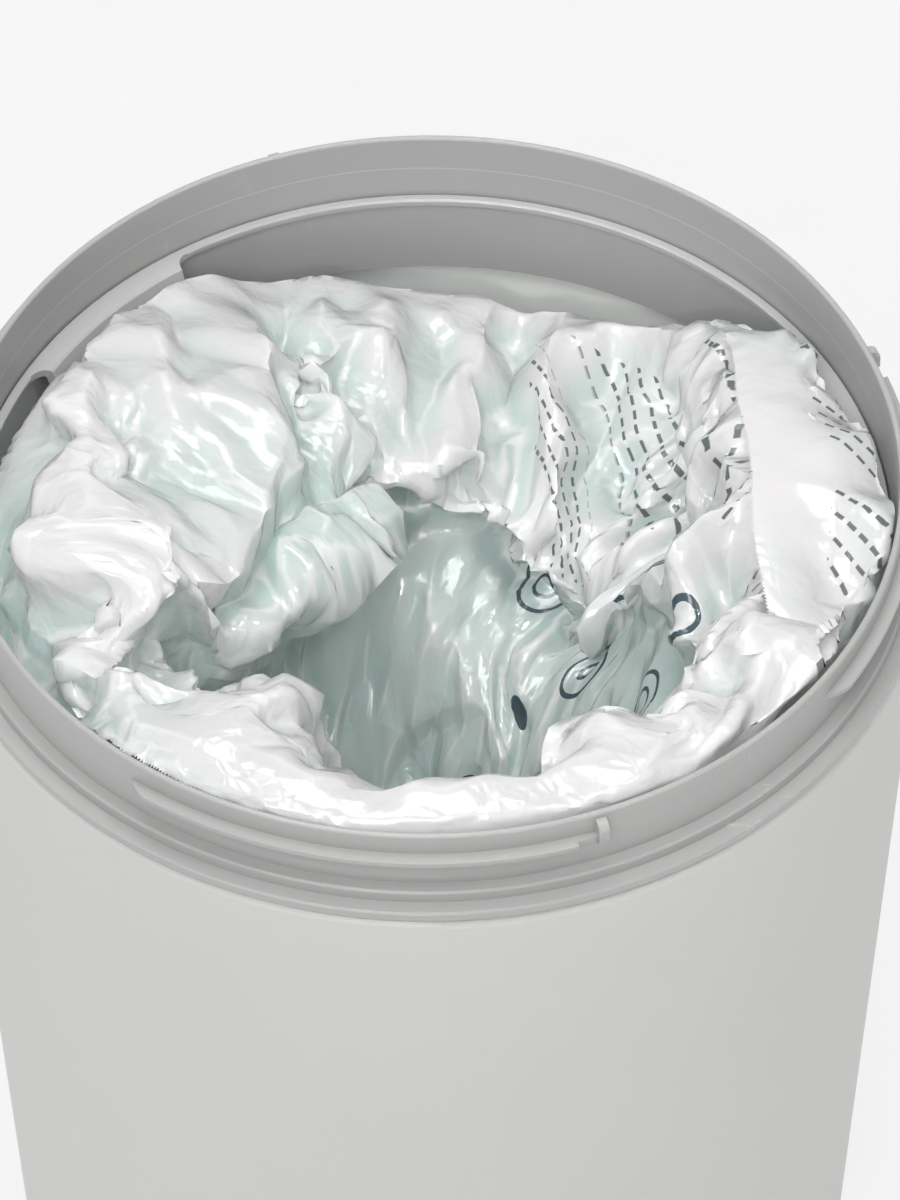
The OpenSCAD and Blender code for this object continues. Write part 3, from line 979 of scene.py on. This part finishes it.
    # The crest, where the film turns down into the bag
    crest: Table = (
        (0, 101, -20), (20, 98, -22), (38, 96, -24), (50, 96, -31), (60, 95, -39), (69, 94, -44),
        (79, 93, -43), (88, 94, -39), (103, 96, -33), (116, 97, -28), (130, 98, -16), (145, 97, -7),
        (160, 92, 1), (177, 87, 3), (190, 84, 3), (205, 88, 2), (218, 97, 0), (232, 103, 2),
        (254, 104, 3), (270, 104, 2), (290, 104, 1), (315, 101, -2), (335, 102, -12),
    )
    # Half way in, in the gathered slope: x, y and drop by azimuth round the film
    slope: Table = (
        (0, 82, -8, -16), (18, 76, 22, -18), (38, 62, 42, -30), (55, 46, 52, -46), (70, 30, 54, -46),
        (85, 8, 56, -40), (100, -14, 56, -32), (115, -30, 50, -24), (135, -46, 38, -14),
        (155, -58, 16, -9), (175, -66, -8, -6), (193, -74, -30, -6), (208, -70, -50, -8),
        (222, -58, -66, -7), (237, -44, -80, -5), (252, -28, -96, -4), (270, 0, -103, -3),
        (290, 32, -96, -4), (312, 60, -76, -6), (335, 78, -42, -12),
    )
    # The mouth, where the film drops steeply
    mouth: Table = (
        (0, 60, -20, -30), (15, 54, -2, -38), (38, 44, 4, -62), (55, 34, 12, -64), (68, 25, 22, -52),
        (82, 10, 26, -46), (97, -5, 30, -42), (115, -20, 26, -36), (135, -17, 12, -28),
        (160, -30, -12, -26), (180, -48, -28, -24), (197, -63, -34, -22), (212, -55, -43, -20),
        (225, -43, -54, -16), (237, -41, -70, -13), (250, -30, -92, -8), (265, -6, -100, -8),
        (280, 15, -101, -9), (300, 40, -92, -12), (318, 54, -70, -16), (337, 60, -44, -24),
    )
    # Just under the mouth the film goes down by tuck_down, and at the back outwards as well:
    # azimuth and share of tuck_out
    tuck: Table = ((45, 0.0), (62, 1.0), (104, 1.0), (120, 0.0))
    tuck_out: float = 12.0
    tuck_down: float = 15.0
    # Below the mouth: middle x, middle y, radius and drop
    below: Table = (
        (-6, -32, 50, -82), (-7, -48, 44, -106), (-7, -54, 41, -128), (-3, -16, 68, -156),
        (0, 0, 89, -188), (0, 0, 84, -216), (0, 0, 66, -236), (0, 0, 36, -249), (0, 0, 6.5, -257),
        (0, 0, 12.5, -264), (0, 0, 12.5, -271), (0, 0, 6.5, -277), (0, 0, 12.5, -283),
    )

    def ways(self, azimuths: np.ndarray) -> np.ndarray:
        """Lays out the way the film takes at each azimuth, from its cut end to the knot's tail.

        Args:
            azimuths: Evenly spaced azimuths in degrees.

        Returns:
            Stations x azimuths x 3, in mm.
        """
        angle = np.radians(azimuths)
        out = np.stack((np.cos(angle), np.sin(angle)), axis=1)
        level, lip = np.ones(len(angle)), self.room.lip
        stations = []
        for knots in (self.cut_end, self.shoulder, self.crest):
            radius, drop = round_knots(knots, azimuths).T
            stations.append(np.column_stack((out * radius[:, None], lip + drop)))
        for knots in (self.slope, self.mouth):
            x, y, drop = round_knots(knots, azimuths).T
            stations.append(np.column_stack((x, y, lip + drop)))
        outwards = out * (self.tuck_out * round_knots(self.tuck, azimuths))
        stations.append(stations[-1] + np.column_stack((outwards, -self.tuck_down * level)))
        for x, y, radius, drop in self.below:
            stations.append(np.column_stack((np.array([x, y]) + radius * out, (lip + drop) * level)))
        return np.stack(stations)

    def lay_out(self, rows: int = 320, columns: int = 360, steps: int = 8) -> np.ndarray:
        """Spaces rows evenly along each way, on smooth curves.

        Args:
            rows: Number of rows.
            columns: Number of columns.
            steps: Number of steps from one station to the next.

        Returns:
            Rows x columns x 3, in mm.
        """
        ways = self.ways(np.arange(columns) * TURN / columns)
        fine = [ways[0]]
        padded = np.concatenate((ways[:1], ways, ways[-1:]))
        for k in range(1, len(padded) - 2):
            a, b, c, d = padded[k - 1 : k + 3]
            square, cube = 2 * a - 5 * b + 4 * c - d, 3 * b - a - 3 * c + d
            for t in np.linspace(1 / steps, 1, steps):
                fine.append(0.5 * (2 * b + (c - a) * t + square * t**2 + cube * t**3))
        curve = np.stack(fine)
        spans = np.linalg.norm(np.diff(curve, axis=0), axis=2)
        along = np.concatenate((np.zeros((1, columns)), np.cumsum(spans, axis=0)))
        laid = np.empty((rows, columns, 3))
        for j in range(columns):
            want = np.linspace(0, along[-1, j], rows)
            for axis in range(3):
                laid[:, j, axis] = np.interp(want, along[:, j], curve[:, j, axis])
        self.length = max(self.length, float(along[-1].max()) * self.length_ease)
        return laid

    def read(self, laid: np.ndarray, flat: np.ndarray) -> np.ndarray:
        """Reads the laid-out way at places on the flat sheet.

        Args:
            laid: The laid-out way, rows x columns x 3.
            flat: Places on the flat sheet in mm.

        Returns:
            Points in mm.
        """
        rows, columns = laid.shape[:2]
        u = (flat[..., 0] / self.perimeter * columns) % columns
        v = np.clip(flat[..., 1] / self.length, 0, 1) * (rows - 1.001)
        j, i = np.floor(u).astype(int) % columns, np.floor(v).astype(int)
        fu, fv = (u - np.floor(u))[..., None], (v - i)[..., None]
        k = (j + 1) % columns
        above = laid[i, j] * (1 - fu) + laid[i, k] * fu
        below = laid[i + 1, j] * (1 - fu) + laid[i + 1, k] * fu
        return above * (1 - fv) + below * fv

    def waves(
        self, flat: np.ndarray, finest: float, coarsest: float, height: float, count: int = 60
    ) -> np.ndarray:
        """Makes smooth random heights over the film.

        Args:
            flat: Places on the flat sheet in mm.
            finest: Shortest wave in mm.
            coarsest: Longest wave in mm.
            height: Root mean square height in mm.
            count: Number of waves.

        Returns:
            A height in mm for each place.
        """
        chance = np.random.default_rng(self.seed)
        total = np.zeros(flat.shape[:-1])
        for _ in range(count):
            wave = math.exp(chance.uniform(math.log(finest), math.log(coarsest)))
            slant = chance.normal(0, 0.7)
            turns = max(1, round(self.perimeter / wave * math.cos(slant))) / self.perimeter
            across = turns * flat[..., 0] + flat[..., 1] * math.sin(slant) / wave
            total += wave / coarsest * np.cos(2 * np.pi * across + chance.uniform(0, ANY_PHASE))
        return total / total.std() * height

    def nearness(self, flat: np.ndarray, spot: list[float]) -> np.ndarray:
        """Gives how near places on the film are to the middle of a spot.

        Args:
            flat: Places on the flat sheet in mm.
            spot: Its azimuth and distance from the cut end, half width in degrees, half length.

        Returns:
            From 1 in the middle down to 0.
        """
        azimuth, along, wide, long = spot
        off = off_azimuth(flat[..., 0] / self.perimeter * TURN, azimuth)
        return np.exp(-0.5 * ((off / wide) ** 2 + ((flat[..., 1] - along) / long) ** 2))

    def crumple(self, flat: np.ndarray) -> np.ndarray:
        """Gives how crumpled the film is.

        Args:
            flat: Places on the flat sheet in mm.

        Returns:
            A level for each place, from 0, calm, to 1, crumpled.
        """
        level = 0.34 + 0.3 * np.tanh(self.waves(flat, 60, 170, 1.3))
        for *spot, wanted in self.patches:
            near = self.nearness(flat, spot)
            level = level * (1 - near) + wanted * near
        return level

    def looseness(self, flat: np.ndarray) -> np.ndarray:
        """Gives the spare film at places: much where it is crumpled, little where it is calm.

        Args:
            flat: Places x 2 on the flat sheet in mm.

        Returns:
            The film's own size as a share of the way laid out for it, round and along the tube.
        """
        level = self.crumple(flat)
        deep = np.clip((flat[:, 1] - 190) / 50, 0, 1)  # the bag's belly, evenly slack
        foot = np.clip((self.length - 70 - flat[:, 1]) / 30, 0, 1)  # all but the knot, which is taut
        round_it = (0.005 + 0.22 * level) * (1 - deep) + 0.12 * deep
        along_it = (0.005 + 0.2 * level) * (1 - deep) + 0.04 * deep
        return 1 + np.stack((round_it, along_it), axis=1) * (0.15 + 0.85 * foot)[:, None]

    def creases(self, flat: np.ndarray, kind: tuple[float, ...], seed: int) -> np.ndarray:
        """Makes heights with straight creases and flat facets between them, as in handled film.

        Args:
            flat: Places on the flat sheet in mm.
            kind: Shortest and longest distance between like creases, steepness, number of sets.
            seed: Starts the random choice.

        Returns:
            A height in mm for each place.
        """
        finest, coarsest, steepness, count = kind
        chance = np.random.default_rng(seed)
        total = np.zeros(flat.shape[:-1])
        around, down = 2 * np.pi / self.perimeter, flat[..., 1]
        for _ in range(count):
            wave = math.exp(chance.uniform(math.log(finest), math.log(coarsest)))
            slant = chance.uniform(-1.3, 1.3)
            turns = max(1, round(self.perimeter / wave * math.cos(slant)))
            across = turns / self.perimeter * flat[..., 0] + down * math.sin(slant) / wave
            across += chance.uniform(0, 1)
            bend, beat = chance.integers(1, 4), chance.integers(2, 7)
            sway = around * bend * flat[..., 0] + down / 60 + chance.uniform(0, ANY_PHASE)
            across += 0.16 * np.sin(sway)
            fade = around * beat * flat[..., 0] + down * chance.normal(0, 1 / 50)
            here = 0.5 + 0.5 * np.sin(fade + chance.uniform(0, ANY_PHASE))
            total += wave * here * (4 * np.abs(across - np.floor(across + 0.5)) - 1)
        return total * steepness / 4 / math.sqrt(count / 8)

    def folded(self, flat: np.ndarray, laid: np.ndarray, narrowest: float) -> np.ndarray:
        """Puts the large folds on the laid-out way.

        Args:
            flat: Places on the flat sheet in mm.
            laid: The laid-out way.
            narrowest: The half width in mm of the narrowest fold that the grid can take.

        Returns:
            Points in mm.
        """
        scale = np.array([self.perimeter / TURN, 1.0])
        height = self.creases(flat, self.broad_creases, self.seed) * (0.3 + 1.1 * self.crumple(flat))
        shift = np.zeros(flat.shape)
        down = flat[..., 1]
        for chain, rise, half, lean in self.folds:
            if half < narrowest:
                continue
            best = np.full(flat.shape[:-1], np.inf)
            aside = np.zeros(flat.shape)
            for start, finish in zip(chain[:-1], chain[1:]):
                line = (np.array(finish) - start) * scale
                off = off_azimuth(flat[..., 0] / scale[0], start[0])
                here = np.stack((off, down - start[1]), axis=-1) * scale
                along = np.clip((here @ line) / (line @ line), 0, 1)
                away = np.linalg.norm(here - along[..., None] * line, axis=-1)
                nearer = away < best
                best = np.where(nearer, away, best)
                aside[nearer] = np.array([-line[1], line[0]]) / np.linalg.norm(line)
            fade = np.clip(1 - best / half, 0, 1)
            height = height * (1 - 0.7 * fade) + rise * fade
            shift += aside * (lean * fade)[..., None]
        # Folds die out at the cut end, in the belly and at the knot
        calm = np.clip((down - 3) / 26, 0.05, 1) * np.clip((150 - down) / 40, 0.35, 1)
        calm *= np.clip((self.length - 80 - down) / 40, 0, 1)
        place = flat + shift * calm[..., None]
        step = np.array([3.0, 0.0])
        around = self.read(laid, place + step) - self.read(laid, place - step)
        along_it = self.read(laid, place + step[::-1]) - self.read(laid, place - step[::-1])
        normal = unit(np.cross(around, along_it))
        return self.read(laid, place) + normal * (height * calm)[..., None]

    def lay(self) -> tuple[SheetGrid, np.ndarray]:
        """Lays the film out and crumples it, from large folds to small ones.

        Returns:
            The crumpled film, and how sharp its crease is at each point.
        """
        laid = self.lay_out()
        chance = np.random.default_rng(self.seed)
        rows, columns = self.rows, self.columns
        u, v = np.meshgrid(np.arange(columns), np.arange(rows))
        jog = chance.uniform(-self.jog, self.jog, (2, rows, columns))
        jog[1, 0] = jog[1, -1] = 0
        round_it = (u + jog[0]) / columns * self.perimeter
        flat = np.stack((round_it, (v + jog[1]) / (rows - 1) * self.length), axis=2)
        start = self.folded(flat, laid, self.narrowest) + self.waves(flat, 30, 120, 1.5)[..., None]
        grid = SheetGrid(start, flat, self.hold, self.perimeter)
        for level, (rounds, slack, stiff) in enumerate(self.passes):
            if level:
                grid = grid.refined()
            base = self.folded(grid.flat, laid, self.narrowest / 2**level)
            solver = SheetSolver(rounds, slack, stiff)
            solver.settle(grid, base, self.looseness, self.room.keep_clear)
        grid.crisped(8, 0.16, 8)
        down = grid.flat[..., 1]
        small = self.creases(grid.flat, self.small_creases, self.seed + 3)
        small *= 0.1 + 0.9 * self.crumple(grid.flat)
        small *= np.clip(down / 20, 0, 1) * np.clip((self.length - 60 - down) / 40, 0, 1)
        grid.points += grid.normals() * small[..., None]
        sharp = grid.crisped(3, 0.12, 3)
        # The highest crests are pressed down gently, so that none stands far over the lip
        start, rise = self.room.lip - 4, 8
        height = grid.points[..., 2]
        pressed = start + rise * np.tanh((height - start) / rise)
        grid.points[..., 2] = np.where(height > start, pressed, height)
        return grid, sharp

    def toothed(self, points: np.ndarray) -> tuple[np.ndarray, list[list[int]]]:
        """Joins the points with faces, with two small teeth to each column along the cut end.

        Args:
            points: Rows x columns x 3, in metres.

        Returns:
            The mesh's points, and its faces as lists of point numbers.
        """
        rows, columns = points.shape[:2]
        number = np.arange(rows * columns).reshape(rows, columns)
        right = np.roll(number, -1, axis=1)
        quads = np.stack((number[1:-1], number[2:], right[2:], right[1:-1]), axis=2)
        faces = quads.reshape(-1, 4).tolist()
        ends, after = points[0], np.roll(points[0], -1, axis=0)
        out = points[0] - points[1]
        out *= self.tooth * MM / np.linalg.norm(out, axis=1, keepdims=True)
        middle, tips = (ends + after) / 2, [ends * a + after * (1 - a) + out for a in (0.75, 0.25)]
        extra = rows * columns + np.arange(3 * columns).reshape(3, columns)
        for j in range(columns):
            a, b, m = number[0, j], right[0, j], extra[0, j]
            faces += [[a, number[1, j], right[1, j], b, m], [a, m, extra[1, j]], [m, b, extra[2, j]]]
        return np.concatenate((points.reshape(-1, 3), middle, *tips)), faces

    def unwrap(self, mesh: bpy.types.Mesh, flat: np.ndarray) -> None:
        """Keeps where each corner lies on the flat film, for the material to read.

        Args:
            mesh: The bag's mesh.
            flat: Rows x columns x 2, places on the flat film in metres.
        """
        once = self.perimeter * MM
        step, tip = np.array([once / flat.shape[1], 0.0]), np.array([0.0, -self.tooth * MM])
        teeth = (flat[0] + step / 2, flat[0] + step / 4 + tip, flat[0] + step * 0.75 + tip)
        loops = np.empty(len(mesh.loops), np.int32)
        mesh.loops.foreach_get("vertex_index", loops)
        spread = np.concatenate((flat.reshape(-1, 2), *teeth))[loops]
        for polygon in mesh.polygons:
            corners = slice(polygon.loop_start, polygon.loop_start + polygon.loop_total)
            if np.ptp(spread[corners, 0]) > once / 2:
                spread[corners, 0] += np.where(spread[corners, 0] < once, once, 0)
        mesh.uv_layers.new(name="film").data.foreach_set("uv", spread.ravel().astype(np.float32))

    def mint_and_painted_shade(self, points: np.ndarray, flat: np.ndarray) -> np.ndarray:
        """Gives how strong the mint tone is: more in hollows and deep inside, as painted shade, less on
        crests.

        Args:
            points: Rows x columns x 3, in metres.
            flat: The same points on the flat film in mm.

        Returns:
            From 0 to 1 for each point.
        """
        smooth = points
        for _ in range(60):
            sides = np.roll(smooth, 1, axis=1)[1:-1] + np.roll(smooth, -1, axis=1)[1:-1]
            inner = smooth.copy()
            inner[1:-1] = (smooth[:-2] + smooth[2:] + sides) / 4
            smooth = inner
        normals = unit(np.cross(np.roll(smooth, -1, axis=1) - smooth, np.gradient(smooth, axis=0)))
        crest = ((points - smooth) * normals).sum(axis=2) / MM
        # Painted shade: more mint deeper in the bag and in hollows, less on crests.
        inside = np.clip((flat[..., 1] - 95) / 30, 0, 1)
        cast = 0.3 - np.clip(crest, -3, 3) / 9 + 0.4 * inside
        for *spot, more in self.mint_and_shade_spots:
            cast += more * self.nearness(flat, spot)
        return np.clip(cast, 0, 1)

    def build(self) -> bpy.types.Object:
        """Makes the bag's mesh.

        Returns:
            The bag.
        """
        grid, sharp = self.lay()
        columns = grid.points.shape[1]
        seam = columns // 2  # the flat film starts and ends at the far side from azimuth 0
        points, flat = (np.roll(a, -seam, axis=1) * MM for a in (grid.points, grid.flat))
        flat[:, columns - seam :, 0] += self.perimeter * MM
        mesh = bpy.data.meshes.new("bag_film")
        corners, faces = self.toothed(points)
        mesh.from_pydata(corners.tolist(), [], faces)
        self.unwrap(mesh, flat)
        levels = {
            "mint": self.mint_and_painted_shade(points, flat / MM),
            # Crease sharpness, which places the painted glint in the material.
            "crease": np.roll(sharp, -seam, axis=1),
            "crumple": np.clip(0.18 + self.crumple(flat / MM), 0, 1),
        }
        for name, level in levels.items():
            values = np.concatenate((level.ravel(), np.tile(level[0], 3))).astype(np.float32)
            mesh.attributes.new(name, "FLOAT", "POINT").data.foreach_set("value", values)
        mesh.polygons.foreach_set("use_smooth", [True] * len(mesh.polygons))
        mesh.set_sharp_from_angle(angle=math.radians(self.sharp_angle))
        mesh.materials.append(BlownPolythene(self.perimeter).build())
        bag = bpy.data.objects.new("bag_film", mesh)
        bpy.context.scene.collection.objects.link(bag)
        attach(bag, "film_bag")
        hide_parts("film_bag")
        return bag


def main() -> None:
    """Builds the studio, dresses the moulded parts and makes the bag."""
    logging.basicConfig(level=logging.INFO, format="%(name)s: %(message)s")
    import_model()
    Studio().build()
    MouldedParts().build()
    FilmBag().build()
    LOG.info("sizes written")


if __name__ == "__main__":
    main()
